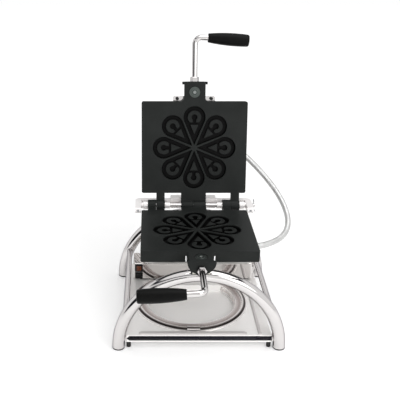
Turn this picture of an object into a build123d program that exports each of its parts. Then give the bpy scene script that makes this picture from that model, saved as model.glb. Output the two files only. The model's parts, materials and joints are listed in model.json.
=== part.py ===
"""Rotating waffle maker on a tubular stand, lid open.

Two turned-over copies of one square casting are hinged at the back on a pin.
A yoke carries the pin and turns in a bearing on the rear arch, while the round
front neck of the closed castings turns in a saddle on the front arch.
Lengths are in millimetres, +Z is up and the operator stands at -Y.
"""
import os
from math import cos, radians, sin, sqrt, tan

from build123d import *

# Castings
plate_width = 235.0
plate_depth = 205.5
plate_thickness = 23.6
plate_corner_radius = 4.0
plate_edge_radius = 1.0
parting_gap = 0.4
axis_height = 203.6
pocket_depth = 9.0
pocket_draft = 8.0
island_drop = 1.2
fit_clearance = 0.05
overshoot = 1.0

# Flower pattern pressed into each casting
petal_count = 8
petal_head_distance = 68.0
petal_head_radius = 24.5
petal_tip_distance = 6.0
horseshoe_radius = 15.0
horseshoe_hole_radius = 6.5
horseshoe_mouth = 8.0
horseshoe_clip = 11.4
wedge_base_distance = 51.5
wedge_apex_distance = 30.0
wedge_base_width = 18.0

# Front neck, flange and handle
neck_radius = 23.6
neck_length = 37.2
neck_fillet = 8.0
flange_radius = 28.1
flange_thickness = 6.0
rod_diameter = 12.0
rod_drop = 16.2
rod_engagement = 34.0
lower_rod_length = 90.0
upper_rod_length = 96.0
rod_bend_radius = 14.0
lower_side_arm = 33.0
upper_side_arm = 28.5
lower_arm_droop = 2.9
upper_arm_droop = 4.0
grip_length = 90.0
grip_socket_depth = 42.0
grip_socket_clearance = 0.5
grip_neck_diameter = 19.6
grip_belly_diameter = 27.8
grip_end_diameter = 26.0
grip_belly_place = 55.8
grip_neck_edge = 1.0
grip_end_edge = 4.0
handle_nut_across_flats = 17.0
handle_nut_thickness = 10.0
handle_nut_chamfer = 1.0
counterbore_diameter = 25.4
counterbore_depth = 3.2
washer_diameter = 24.0
washer_thickness = 1.6
lock_screw_head_diameter = 14.0
lock_screw_head_height = 1.4
lock_screw_diameter = 6.0
lock_screw_setback = 6.5
lock_screw_hole_clearance = 0.3
lock_screw_socket = 5.0
lock_screw_socket_floor = 0.3
lock_screw_edge = 0.6

# Hinge
hinge_offset = 28.0
pin_diameter = 10.0
pin_running_clearance = 0.05
barrel_radius = 12.5
knuckle_web_thickness = 10.5
knuckle_width = 18.8
knuckle_margin = 33.0
knuckle_gap = 0.4
tongue_half_width = 28.0
tongue_barrel_radius = 9.0
tongue_relief = 0.8
tongue_thickness = 10.0
open_angle = 101.0
pin_end_setback = 1.0
pin_stub_radius = 3.5
pin_stub_length = 8.6
split_pin_offset = 4.5
split_pin_hole_radius = 1.3
split_pin_wire_radius = 1.0
split_pin_eye_radius = 2.9
split_pin_top = 8.0
split_pin_bottom = -9.0
split_pin_toe = (5.0, -2.0, -15.0)
split_pin_bend_radius = 4.0
outer_spacer_length = 9.7
outer_spacer_radius = 9.5
inner_spacer_length = 12.2
inner_spacer_radius = 7.5
end_spacer_wall = 2.2
spacer_clearance = 0.3

# Yoke, hub and rear shaft
yoke_clearance = 1.0
yoke_bar_width = 13.5
yoke_bar_height = 13.0
yoke_front_reach = 34.0
yoke_corner_radius = 12.0
yoke_tip_radius = 6.0
set_screw_radius = 3.0
set_screw_recess = 0.8
set_screw_socket = 3.0
set_screw_socket_depth = 3.2
hub_half_width = 52.0
hub_height = 26.0
hub_depth = 15.5
hub_setback = 13.7
hub_edge_radius = 3.0
hub_socket_depth = 10.0
shaft_diameter = 20.0
shaft_bore = 12.0
shaft_length = 38.0
shaft_chamfer = 0.8
collar_across_flats = 30.0
collar_thickness = 8.0
collar_clearance = 0.4
bush_wall = 3.0
bush_flange_radius = 15.5
bush_flange_thickness = 1.6
bearing_clearance = 0.05
bearing_radius = 19.0
bearing_length = 24.0
bearing_foot_half_width = 22.0

# Heater covers
cover_inset = 14.0
cover_depth = 12.0
cover_wall = 1.0
cover_corner_radius = 10.0
cover_edge_radius = 2.5
boss_diameter = 12.0
boss_inset = 12.0
boss_hole_depth = 8.0
cover_screw_diameter = 5.0
cover_screw_head_diameter = 9.5
cover_screw_head_height = 3.0
cover_screw_head_edge = 2.0
cover_screw_length = 12.0
cover_screw_hole_clearance = 0.2
element_diameter = 8.0
element_side_inset = 30.0
element_end_inset = 24.0
element_tail_x = 30.0
element_tail_y = 12.0
element_bend_radius = 12.0
thermostat_x = -20.0
thermostat_radius = 8.0
thermostat_flange_radius = 11.0
thermostat_flange_thickness = 1.2
insulation_thickness = 1.8
insulation_clearance = 3.0
terminal_box_width = 78.0
terminal_box_length = 60.0
terminal_box_depth = 22.0
terminal_box_centre_x = 10.0
terminal_box_centre_y = 11.0
terminal_box_corner_radius = 4.0
terminal_box_edge_radius = 2.0
cable_passage = 26.0
terminal_block_width = 20.0
terminal_block_length = 28.0
terminal_block_height = 14.0
terminal_block_clearance = 1.8
terminal_hole_radius = 2.5
terminal_hole_pitch = 14.0
gland_across_flats = 20.0
gland_turn = 30
gland_nut_length = 8.4
gland_sleeve_length = 5.6
gland_sleeve_diameter = 17.0
gland_bore = 11.0
conduit_diameter = 13.0
conduit_first_run = 29.0
conduit_last_run = 21.0
conduit_arc_share = 0.45
strap_half_width = 47.0
strap_overhang = 11.0
strap_width = 17.0
strap_thickness = 2.0
strap_corner_radius = 3.0
buffer_radius = 3.6
buffer_height = 9.0
buffer_inset = 9.0

# Stand
tube_diameter = 25.0
tube_wall = 1.5
front_arch_setback = 26.75
neck_to_arch = 2.0
hub_clearance = 0.45
foot_height = 3.0
foot_spigot_length = 6.0
foot_spigot_clearance = 0.35
foot_edge_radius = 1.0
rail_diameter = 12.0
rail_height = 72.0
saddle_half_width = 17.0
saddle_length = 19.0
saddle_clearance = 0.3
saddle_lip_drop = 16.6
bearing_foot_height = 18.0

# Base tray and drip pan
tray_clearance = 2.5
tray_front_overhang = 3.5
tray_rear_overhang = 3.0
tray_top = 30.0
tray_skirt = 15.0
sheet_thickness = 1.5
tray_return = 18.0
tray_corner_radius = 3.0
tray_edge_radius = 2.0
leg_spacer_length = 18.0
leg_spacer_inset = 1.0
leg_spacer_drop = 3.0
stop_strip_margin = 44.0
stop_strip_offset = 12.0
stop_strip_length = 9.0
stop_strip_height = 2.2
stop_strip_slope = 6.0
stop_strip_setback = 4.0
side_strip_margin = 20.0
side_strip_width = 8.0
side_strip_slope = 2.0
tray_foot_diameter = 9.0
tray_foot_inset = 5.5
tray_foot_chamfer = 1.0
pan_side_margin = 24.0
pan_offset = 10.0
pan_rim_width = 25.0
pan_lip_width = 6.5
pan_depth = 15.0
pan_front_margin = 14.0
pan_clearance = 1.5
pan_back_clearance = 2.0
pan_bead_width = 6.0
pan_bead_height = 2.8
pan_bead_edge = 2.0
pan_floor_radius = 5.0
pan_tab_width = 26.0
pan_tab_length = 17.0
pan_tab_thickness = 1.4
pan_tab_grip = 0.6

# Control box
box_side_margin = 10.5
box_depth = 56.0
box_rear_margin = 25.0
box_height = 39.0
box_wall = 1.2
box_corner_radius = 3.0
box_edge_radius = 2.0
box_base_clearance = 0.2
pad_thickness = 3.0
pad_left_margin = 24.0
pad_right_margins = (40.0, 17.0)
pad_width = 18.0
pad_length = 14.0
pad_setback = 9.0
switch_margin = 12.5
switch_rise = 8.5
lamp_drop = 11.0
switch_width = 15.0
switch_tall = 12.0
lamp_tall = 16.0
bezel_border = 1.5
bezel_thickness = 2.0
bezel_corner_radius = 1.2
bezel_body_depth = 16.0
switch_well_depth = 5.0
switch_wall = 1.3
rocker_face_depth = 2.2
rocker_ridge = 1.6
rocker_root = 3.0
lens_thickness = 1.4
lens_border = 2.2
lens_edge_radius = 0.9
rocker_tilt = 7.0
rocker_clearance = 0.5
inlet_x = 60.0
inlet_rise = 19.0
inlet_bore = 8.0
inlet_thread_radius = 8.0
inlet_gland_radius = 10.0
inlet_gland_length = 8.0
inlet_nut_thickness = 4.8
terminal_strip_length = 48.0
terminal_strip_width = 18.0
terminal_strip_height = 16.0
terminal_strip_setback = 12.0
terminal_strip_pitch = 12.0
terminal_strip_hole_radius = 2.2
terminal_strip_hole_floor = 8.0

# Derived places
hinge_y = plate_depth / 2 + hinge_offset
half_gap = parting_gap / 2
plate_back = -plate_thickness
cover_back = plate_back - cover_depth
pin_radius = pin_diameter / 2
pin_bore = pin_radius + pin_running_clearance
crossbar_front = hinge_y + hub_setback
crossbar_rear = crossbar_front + yoke_bar_width
hub_rear = crossbar_front + hub_depth
neck_end = plate_depth / 2 + neck_length
flange_face = neck_end + flange_thickness
lower_arm_y = flange_face + lower_rod_length
upper_arm_y = flange_face + upper_rod_length
yoke_half_width = plate_width / 2 + yoke_clearance + yoke_bar_width
knuckle_pair_centre = plate_width / 2 - knuckle_margin
tube_radius = tube_diameter / 2
arch_radius = axis_height - neck_radius - neck_to_arch - tube_radius - foot_height
arch_top = foot_height + arch_radius
front_arch_offset = plate_depth / 2 + front_arch_setback
rear_arch_offset = hub_rear + hub_clearance + bush_flange_thickness + bearing_length / 2
saddle_height = axis_height - saddle_lip_drop
tray_half_width = arch_radius - tube_radius - tray_clearance
tray_front = front_arch_offset + tray_front_overhang
tray_rear = rear_arch_offset + tray_rear_overhang
stop_strip_half_width = tray_half_width - stop_strip_margin
pan_radius = tray_half_width - pan_side_margin
pan_centre_y = pan_front_margin + pan_radius - tray_front
box_half_width = tray_half_width - box_side_margin
box_rear = tray_rear - box_rear_margin
box_front = box_rear - box_depth
box_bottom = tray_top + pad_thickness
box_top = box_bottom + box_height
switch_x = switch_margin - box_half_width
switch_height = box_bottom + switch_rise
lamp_height = box_top - lamp_drop
inlet_height = box_bottom + inlet_rise
grip_radius = grip_belly_diameter / 2
gland_length = gland_nut_length + gland_sleeve_length
rocker_half_width = switch_width / 2 - switch_wall
rocker_half_height = switch_tall / 2 - switch_wall
lock_screw_y = front_arch_offset - lock_screw_setback
gland_level = terminal_box_depth / 2 - cover_back
terminal_wall_inside = terminal_box_width / 2 - box_wall
terminal_block_offset = terminal_wall_inside - terminal_block_clearance - terminal_block_width / 2

split_pin_x = yoke_half_width + split_pin_offset

# The origin lies on the floor, midway between the two grips front to back
front_reach = lower_arm_y + grip_radius
lean = radians(open_angle - 90)
belly_fall = (upper_side_arm + grip_belly_place) * sin(radians(upper_arm_droop))
upper_grip_reach = hinge_y + upper_arm_y - belly_fall
rear_reach = hinge_y + upper_grip_reach * sin(lean) + rod_drop * cos(lean) + grip_radius
plate_y = (front_reach - rear_reach) / 2

on_stand = Pos(0, plate_y, 0)
on_axis = Pos(0, plate_y, axis_height)
turned_over = Rot(0, 180, 0)
opened = Pos(0, hinge_y, 0) * Rot(-open_angle, 0, 0) * Pos(0, -hinge_y, 0)
on_lid = on_axis * opened * turned_over


def block(x0, x1, y0, y1, z0, z1):
    """A box between two corners."""
    centre = Pos((x0 + x1) / 2, (y0 + y1) / 2, (z0 + z1) / 2)
    return centre * Box(abs(x1 - x0), abs(y1 - y0), abs(z1 - z0))


def bar_x(radius, x0, x1, y, z):
    """A round bar along X."""
    return Pos((x0 + x1) / 2, y, z) * Rot(0, 90, 0) * Cylinder(radius, abs(x1 - x0))


def bar_y(radius, x, y0, y1, z):
    """A round bar along Y."""
    return Pos(x, (y0 + y1) / 2, z) * Rot(90, 0, 0) * Cylinder(radius, abs(y1 - y0))


def bar_z(radius, x, y, z0, z1):
    """A round bar along Z."""
    return Pos(x, y, (z0 + z1) / 2) * Cylinder(radius, abs(z1 - z0))


def write(name, place, *solids):
    """Put the solids of one sub-part in place and write them to one file."""
    placed = [place * solid for solid in solids]
    pieces = [piece for shape in placed for piece in shape.solids()]
    shape = pieces[0] if len(pieces) == 1 else Compound(children=pieces)
    export_step(shape, "parts/" + name + ".step")


# Flower pattern


def petal_outline():
    """Drop outline of one petal, its tip towards the flower's centre."""
    run = petal_head_distance - petal_tip_distance
    lean_in = petal_head_radius / run
    touch_x = petal_head_distance - petal_head_radius * lean_in
    touch_y = petal_head_radius * sqrt(1 - lean_in ** 2)
    far = petal_head_distance + petal_head_radius
    sides = Polyline((touch_x, -touch_y), (petal_tip_distance, 0), (touch_x, touch_y))
    head = ThreePointArc((touch_x, touch_y), (far, 0), (touch_x, -touch_y))
    return make_face([sides, head])


def horseshoe():
    """Raised horseshoe island, open towards the flower's centre."""
    ring = Circle(horseshoe_radius) - Circle(horseshoe_hole_radius)
    cut = horseshoe_radius - horseshoe_clip
    clip = Pos(-horseshoe_radius + cut / 2, 0) * Rectangle(cut, 3 * horseshoe_radius)
    mouth = Pos(-horseshoe_radius / 2, 0) * Rectangle(horseshoe_radius, horseshoe_mouth)
    return Pos(petal_head_distance, 0) * (ring - clip - mouth)


def wedge():
    """Raised triangular island that points to the flower's centre."""
    half = wedge_base_width / 2
    corners = Polyline(
        (wedge_base_distance, -half),
        (wedge_base_distance, half),
        (wedge_apex_distance, 0),
        (wedge_base_distance, -half),
    )
    return make_face(corners)


def petal_pocket():
    """The space pressed out for one petal, islands left standing."""
    space = extrude(petal_outline(), amount=-pocket_depth, taper=pocket_draft)
    top = -half_gap - island_drop
    for island in (horseshoe(), wedge()):
        space -= Pos(0, 0, -pocket_depth) * extrude(island, amount=pocket_depth + top)
    return space


# Casting


def neck_and_flange():
    """Half-round neck and flange of one casting; two make the front journal."""
    root = -plate_depth / 2
    neck = bar_y(neck_radius, 0, root + overshoot, -neck_end, 0)
    flange = bar_y(flange_radius, 0, -neck_end, -flange_face, 0)
    wide = 2 * flange_radius
    above = block(-wide, wide, root + 2 * overshoot, -flange_face - overshoot, -half_gap, wide)
    return neck + flange - above


def casting_outline():
    """Plan of the plate with the roots of its neck and rear tongue."""
    plan = RectangleRounded(plate_width, plate_depth, plate_corner_radius)
    root = plate_depth / 2
    stub = neck_fillet + 1.5 * plate_edge_radius
    plan += Pos(0, -root - stub / 2) * Rectangle(2 * neck_radius, stub)
    inner = [v for v in plan.vertices() if abs(abs(v.X) - neck_radius) < 0.01 and v.Y > -root - stub / 2]
    return fillet(inner, neck_fillet)


def knuckle(x0, x1, web_to, radius, web_thickness):
    """One hinge knuckle with the web that joins it to the plate."""
    web = block(x0, x1, plate_depth / 2 - overshoot, web_to, -web_thickness, -half_gap)
    return web + bar_x(radius, x0, x1, hinge_y, 0)


def rear_tongue():
    """Centre tongue: half its width is a barrel, half clears the other barrel."""
    near = knuckle_gap / 2
    half = tongue_half_width
    root = plate_depth / 2 - overshoot
    barrel = knuckle(near, half, hinge_y, tongue_barrel_radius, tongue_thickness)
    web = block(-half, near, root, hinge_y, -tongue_thickness, -half_gap)
    relief = bar_x(tongue_barrel_radius + tongue_relief, -half - overshoot, near, hinge_y, 0)
    return barrel + (web - relief)


def cover_bosses():
    """Four tapped bosses on the back that carry the heater cover."""
    reach_x = plate_width / 2 - cover_inset - boss_inset
    reach_y = plate_depth / 2 - cover_inset - boss_inset
    return [(sx * reach_x, sy * reach_y) for sx in (-1, 1) for sy in (-1, 1)]


def plate_casting():
    """One casting, as the lower plate: parting face up at Z = 0."""
    body = extrude(casting_outline(), amount=-(plate_thickness - half_gap))
    body = Pos(0, 0, -half_gap) * body
    rim = [e for e in body.edges() if abs(e.center().Z - plate_back) < 0.01]
    body = fillet(rim, plate_edge_radius)
    wide = 2 * neck_radius
    low = overshoot - neck_radius
    below = block(-wide, wide, -plate_depth / 2, -flange_face, -2 * plate_thickness, low)
    body -= below - bar_y(neck_radius, 0, 0, -2 * flange_face, 0)
    body += neck_and_flange()
    low = knuckle_pair_centre + knuckle_gap / 2
    high = knuckle_pair_centre - knuckle_gap / 2
    for near in (-low - knuckle_width, high - knuckle_width):
        body += knuckle(near, near + knuckle_width, hinge_y, barrel_radius, knuckle_web_thickness)
    body += rear_tongue()
    for x, y in cover_bosses():
        body += bar_z(boss_diameter / 2, x, y, plate_back, cover_back + cover_wall)
        thread = cover_screw_diameter / 2 + fit_clearance
        body -= bar_z(thread, x, y, plate_back + boss_hole_depth, cover_back)
    body -= bar_x(pin_bore, -plate_width, plate_width, hinge_y, 0)
    rod_hole = rod_diameter / 2 + fit_clearance
    body -= bar_y(rod_hole, 0, -flange_face - overshoot, rod_engagement - flange_face, -rod_drop)
    body -= bar_z(counterbore_diameter / 2, 0, -lock_screw_y, -counterbore_depth, overshoot)
    body -= bar_z(lock_screw_diameter / 2 + fit_clearance, 0, -lock_screw_y, -rod_drop, 0)
    pocket = Pos(0, 0, -half_gap) * petal_pocket()
    for petal in range(petal_count):
        body -= Rot(0, 0, petal * 360 / petal_count) * pocket
    return body


# What each casting carries


def handle_rod(arm_y, side_arm, roll, droop):
    """Bent rod: out of the neck, round the bend and along the side arm to the left."""
    inner = rod_engagement - flange_face
    swing = radians(droop)
    reach = side_arm + grip_socket_depth
    elbow = Vector(0, -arm_y, -rod_drop)
    start = Vector(0, inner, -rod_drop)
    end = elbow + Vector(-reach * cos(swing), reach * sin(swing), 0)
    path = FilletPolyline(start, elbow, end, radius=rod_bend_radius)
    section = Plane(origin=start, z_dir=(0, -1, 0)) * Circle(rod_diameter / 2)
    rod = sweep(section, path=path)
    return rod.rotate(Axis((0, 0, -rod_drop), (0, 1, 0)), roll)


def grip(arm_y, side_arm, roll, droop):
    """Turned black grip on the end of the side arm."""
    neck = grip_neck_diameter / 2
    belly = grip_belly_diameter / 2
    end = grip_end_diameter / 2
    near = grip_neck_edge
    far = grip_end_edge
    outline = [
        Line((0, 0), (neck - near, 0)),
        RadiusArc((neck - near, 0), (neck, near), -near),
        Spline((neck, near), (belly, grip_belly_place), (end, grip_length - far)),
        RadiusArc((end, grip_length - far), (end - far, grip_length), -far),
        Line((end - far, grip_length), (0, grip_length)),
        Line((0, grip_length), (0, 0)),
    ]
    body = revolve(Plane.XZ * make_face(outline), Axis.Z)
    socket_end = grip_socket_depth + grip_socket_clearance
    socket = bar_z(rod_diameter / 2 + fit_clearance, 0, 0, -overshoot, socket_end)
    body = Pos(-side_arm, 0, 0) * Rot(0, -90, 0) * (body - socket)
    body = Pos(0, -arm_y, -rod_drop) * Rot(0, 0, -droop) * body
    return body.rotate(Axis((0, 0, -rod_drop), (0, 1, 0)), roll)


def hexagon(across_flats, turn=0):
    """A hexagon, its corners to left and right unless it is turned."""
    return RegularPolygon(across_flats / 2, 6, major_radius=False, rotation=turn)


def handle_nut():
    """Hexagon nut that locks the rod against the flange."""
    nut = extrude(hexagon(handle_nut_across_flats), amount=handle_nut_thickness)
    nut = chamfer(nut.edges().group_by(Axis.Z)[-1], handle_nut_chamfer)
    nut -= bar_z(rod_diameter / 2 + fit_clearance, 0, 0, -overshoot, handle_nut_thickness + overshoot)
    return Pos(0, -flange_face, -rod_drop) * Rot(90, 0, 0) * nut


def lock_screw():
    """Washer and socket screw that lock the rod in the neck."""
    floor = -counterbore_depth
    top = floor + washer_thickness
    washer = bar_z(washer_diameter / 2, 0, -lock_screw_y, floor, top)
    hole = lock_screw_diameter / 2 + lock_screw_hole_clearance
    washer -= bar_z(hole, 0, -lock_screw_y, floor - overshoot, top + overshoot)
    head = bar_z(lock_screw_head_diameter / 2, 0, -lock_screw_y, top, top + lock_screw_head_height)
    head = fillet(head.edges().group_by(Axis.Z)[-1], lock_screw_edge)
    shank_end = -rod_drop + rod_diameter / 2 + fit_clearance
    shank = bar_z(lock_screw_diameter / 2, 0, -lock_screw_y, shank_end, top)
    key = extrude(hexagon(lock_screw_socket), amount=lock_screw_head_height)
    socket = Pos(0, -lock_screw_y, top + lock_screw_socket_floor) * key
    return washer, head + shank - socket


def heater_cover(side):
    """Shallow pressed cover over the element, with a hole into the terminal box."""
    width = plate_width - 2 * cover_inset
    depth = plate_depth - 2 * cover_inset
    outer = extrude(RectangleRounded(width, depth, cover_corner_radius), amount=-cover_depth)
    outer = fillet(outer.edges().group_by(Axis.Z)[0], cover_edge_radius)
    inner_corner = cover_corner_radius - cover_wall
    inner_plan = RectangleRounded(width - 2 * cover_wall, depth - 2 * cover_wall, inner_corner)
    inner = extrude(inner_plan, amount=-(cover_depth - cover_wall))
    inner = fillet(inner.edges().group_by(Axis.Z)[0], cover_edge_radius - cover_wall)
    cover = outer - inner
    for x, y in cover_bosses():
        cover -= bar_z(cover_screw_diameter / 2 + cover_screw_hole_clearance, x, y, -2 * cover_depth, 0)
    centre = Pos(side * terminal_box_centre_x, terminal_box_centre_y, -cover_depth)
    cover -= centre * Box(cable_passage, cable_passage, 3 * cover_wall)
    return Pos(0, 0, plate_back) * cover


def cover_screws():
    """Four dome-headed screws through the cover into the bosses."""
    screws = []
    for x, y in cover_bosses():
        head_end = cover_back - cover_screw_head_height
        head = bar_z(cover_screw_head_diameter / 2, x, y, head_end, cover_back)
        head = fillet(head.edges().group_by(Axis.Z)[0], cover_screw_head_edge)
        shank = bar_z(cover_screw_diameter / 2, x, y, cover_back, cover_back + cover_screw_length)
        screws.append(head + shank)
    return screws


def heating_element():
    """Tubular element bent in a loop and clamped to the casting's back."""
    depth = plate_back - element_diameter / 2
    reach_x = plate_width / 2 - cover_inset - element_side_inset
    reach_y = plate_depth / 2 - cover_inset - element_end_inset
    points = [
        (element_tail_x, element_tail_y, depth),
        (element_tail_x, -reach_y / 2, depth),
        (reach_x, -reach_y / 2, depth),
        (reach_x, -reach_y, depth),
        (-reach_x, -reach_y, depth),
        (-reach_x, reach_y, depth),
        (reach_x, reach_y, depth),
        (reach_x, element_tail_y, depth),
    ]
    path = FilletPolyline(*points, radius=element_bend_radius)
    section = Plane(origin=points[0], z_dir=(0, -1, 0)) * Circle(element_diameter / 2)
    return sweep(section, path=path)


def insulation_sheet():
    """Mica sheet between the element and the cover."""
    margin = cover_inset + cover_wall + insulation_clearance
    top = plate_back - element_diameter
    sheet = block(
        margin - plate_width / 2, plate_width / 2 - margin,
        margin - plate_depth / 2, plate_depth / 2 - margin,
        top - insulation_thickness, top,
    )
    for x, y in cover_bosses():
        sheet -= bar_z(boss_diameter / 2 + insulation_clearance / 3, x, y, 2 * cover_back, 0)
    return sheet


def thermostat():
    """Round thermostat held against the middle of the casting's back."""
    flange_back = plate_back - thermostat_flange_thickness
    body = bar_z(thermostat_radius, thermostat_x, 0, plate_back, plate_back - element_diameter)
    return body + bar_z(thermostat_flange_radius, thermostat_x, 0, plate_back, flange_back)


def terminal_box(side):
    """Folded box on the cover where the wires and the conduit come in."""
    outer = Box(terminal_box_width, terminal_box_length, terminal_box_depth)
    outer = fillet(outer.edges().filter_by(Axis.Z), terminal_box_corner_radius)
    outer = fillet(outer.edges().group_by(Axis.Z)[0], terminal_box_edge_radius)
    inner = Box(terminal_box_width - 2 * box_wall, terminal_box_length - 2 * box_wall, terminal_box_depth)
    shell = outer - Pos(0, 0, box_wall) * inner
    shell -= bar_x(gland_bore / 2, 0, side * terminal_box_width, 0, 0)
    middle = cover_back - terminal_box_depth / 2
    return Pos(side * terminal_box_centre_x, terminal_box_centre_y, middle) * shell


def terminal_block(side):
    """Ceramic two-way terminal block inside the box."""
    body = Box(terminal_block_width, terminal_block_length, terminal_block_height)
    for y in (-terminal_hole_pitch / 2, terminal_hole_pitch / 2):
        body -= bar_z(terminal_hole_radius, 0, y, -terminal_block_height, terminal_block_height)
    middle = cover_back - terminal_block_height / 2
    x = side * (terminal_box_centre_x - terminal_block_offset)
    return Pos(x, terminal_box_centre_y, middle) * body


def conduit_gland(side):
    """Hexagon gland that clamps the conduit into the terminal box."""
    face = terminal_box_centre_x + terminal_box_width / 2
    middle = cover_back - terminal_box_depth / 2
    nut = extrude(hexagon(gland_across_flats, gland_turn), amount=gland_nut_length)
    body = nut + bar_z(gland_sleeve_diameter / 2, 0, 0, gland_nut_length, gland_length)
    body -= bar_z(gland_bore / 2, 0, 0, -overshoot, gland_length + overshoot)
    return Pos(side * face, terminal_box_centre_y, middle) * Rot(0, side * 90, 0) * body


def cover_strap():
    """Bright strap behind the lid's neck that holds the cover's front edge."""
    front = -plate_depth / 2 - strap_overhang
    strap = block(
        -strap_half_width, strap_half_width,
        front, front + strap_width,
        plate_back - strap_thickness, plate_back,
    )
    return fillet(strap.edges().filter_by(Axis.Z), strap_corner_radius)


def strap_buffers():
    """Two black rubber buffers on the strap, just past the casting's edge."""
    y = -plate_depth / 2 - strap_overhang / 2
    place = strap_half_width - buffer_inset
    return [bar_z(buffer_radius, x, y, plate_back, plate_back + buffer_height) for x in (-place, place)]


def write_plate_set(name, place, side, arm_y, side_arm, roll, droop):
    """Everything that one half of the iron is made of."""
    write(name + "_plate", place, plate_casting())
    write(name + "_heater_cover", place, heater_cover(side))
    write(name + "_cover_screws", place, *cover_screws())
    write(name + "_heating_element", place, heating_element())
    write(name + "_insulation_sheet", place, insulation_sheet())
    write(name + "_thermostat", place, thermostat())
    write(name + "_terminal_box", place, terminal_box(side))
    write(name + "_terminal_block", place, terminal_block(side))
    write(name + "_conduit_gland", place, conduit_gland(side))
    write(name + "_handle_rod", place, handle_rod(arm_y, side_arm, roll, droop))
    write(name + "_handle_nut", place, handle_nut())
    write(name + "_grip", place, grip(arm_y, side_arm, roll, droop))
    write(name + "_lock_screw", place, *lock_screw())


# Hinge pin, yoke and rear shaft


def hinge_yoke():
    """U-shaped bar that carries the hinge pin in its two arms."""
    inner = yoke_half_width - yoke_bar_width
    front = hinge_y - yoke_front_reach
    plan = Pos(0, (front + crossbar_rear) / 2) * Rectangle(2 * yoke_half_width, crossbar_rear - front)
    gap_depth = crossbar_front - front
    gap = Pos(0, front + (gap_depth - overshoot) / 2) * Rectangle(2 * inner, gap_depth + overshoot)
    bar = extrude(plan - gap, amount=yoke_bar_height)
    bar = Pos(0, 0, -yoke_bar_height / 2) * bar
    uprights = bar.edges().filter_by(Axis.Z)
    corners = [e for e in uprights if e.center().Y > crossbar_front]
    bar = fillet(corners, yoke_corner_radius)
    tips = [e for e in bar.edges().filter_by(Axis.X) if e.center().Y < hinge_y]
    bar = fillet(tips, yoke_tip_radius)
    bar -= block(-hub_half_width, hub_half_width, hinge_y, 2 * crossbar_rear, -hub_height, hub_height)
    bar -= bar_x(pin_bore, -2 * yoke_half_width, 2 * yoke_half_width, hinge_y, 0)
    for x in (-1, 1):
        middle = x * (yoke_half_width - yoke_bar_width / 2)
        bar -= bar_y(set_screw_radius + fit_clearance, middle, front - overshoot, hinge_y, 0)
    return bar


def yoke_set_screws():
    """Socket set screws in the arms' ends, tightened against the pin."""
    front = hinge_y - yoke_front_reach
    screws = []
    for x in (-1, 1):
        middle = x * (yoke_half_width - yoke_bar_width / 2)
        screw = bar_y(set_screw_radius, middle, front + set_screw_recess, hinge_y - pin_bore, 0)
        floor = front + set_screw_recess + set_screw_socket_depth
        key = extrude(hexagon(set_screw_socket), amount=2 * set_screw_socket_depth)
        socket = Pos(middle, floor, 0) * Rot(90, 0, 0) * key
        screws.append(screw - socket)
    return screws


def rear_hub():
    """Bright block welded into the crossbar; the rear shaft stands in it."""
    hub = block(-hub_half_width, hub_half_width, crossbar_front, hub_rear, -hub_height / 2, hub_height / 2)
    hub = fillet(hub.edges().filter_by(Axis.Y), hub_edge_radius)
    socket = shaft_diameter / 2 + fit_clearance
    hub -= bar_y(socket, 0, hub_rear - hub_socket_depth, hub_rear + overshoot, 0)
    hub -= bar_y(shaft_bore / 2, 0, crossbar_front - overshoot, hub_rear, 0)
    return hub


def rear_shaft():
    """Hollow shaft that turns in the rear bearing."""
    front = hub_rear - hub_socket_depth
    rear = hub_rear + shaft_length
    shaft = bar_y(shaft_diameter / 2, 0, front, rear, 0)
    shaft -= bar_y(shaft_bore / 2, 0, front - overshoot, rear + overshoot, 0)
    return chamfer(shaft.edges().group_by(Axis.Y)[-1], shaft_chamfer)


def shaft_collar():
    """Collar nut that keeps the shaft in its bearing."""
    front = rear_arch_offset + bearing_length / 2 + collar_clearance
    plan = Plane.XZ * (hexagon(collar_across_flats) - Circle(shaft_diameter / 2 + fit_clearance))
    collar = extrude(plan, amount=-collar_thickness)
    return Pos(0, front, 0) * collar


def hinge_pin():
    """Pin through both arms and every knuckle, thinner at its right end."""
    pin = bar_x(pin_radius, pin_end_setback - yoke_half_width, yoke_half_width, hinge_y, 0)
    pin += bar_x(pin_stub_radius, 0, yoke_half_width + pin_stub_length, hinge_y, 0)
    return pin - bar_z(split_pin_hole_radius, split_pin_x, hinge_y, -pin_radius, pin_radius)


def pin_collars():
    """Bright collars and spacers that keep the knuckles in place along the pin."""
    outer = knuckle_pair_centre + knuckle_gap / 2 + knuckle_width
    inner = knuckle_pair_centre - knuckle_gap / 2 - knuckle_width
    outer_end = outer + spacer_clearance + outer_spacer_length
    arm = yoke_half_width - yoke_bar_width
    collars = []
    for side in (-1, 1):
        spans = (
            (outer + spacer_clearance, outer_end, outer_spacer_radius),
            (inner - spacer_clearance - inner_spacer_length, inner - spacer_clearance, inner_spacer_radius),
            (outer_end + spacer_clearance, arm - spacer_clearance, pin_radius + end_spacer_wall),
        )
        for near, far, radius in spans:
            ring = bar_x(radius, side * near, side * far, hinge_y, 0)
            ring -= bar_x(pin_bore, -yoke_half_width, yoke_half_width, hinge_y, 0)
            collars.append(ring)
    return collars


def split_pin():
    """Wire split pin through the pin's thin end."""
    top = Vector(split_pin_x, hinge_y, split_pin_top)
    bottom = Vector(split_pin_x, hinge_y, split_pin_bottom)
    toe = Vector(split_pin_x, hinge_y, 0) + Vector(*split_pin_toe)
    path = FilletPolyline(top, bottom, toe, radius=split_pin_bend_radius)
    leg = sweep(Plane(origin=top, z_dir=(0, 0, -1)) * Circle(split_pin_wire_radius), path=path)
    eye_height = split_pin_top + split_pin_eye_radius - split_pin_wire_radius / 3
    eye = Torus(split_pin_eye_radius, split_pin_wire_radius)
    return leg + Pos(split_pin_x, hinge_y, eye_height) * Rot(0, 90, 0) * eye


# Stand


def arch_ring(radius):
    """Solid half ring of round section, its plane square to Y."""
    section = Plane.XY * (Pos(arch_radius, 0) * Circle(radius))
    return revolve(section, Axis.Y, -180)


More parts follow.
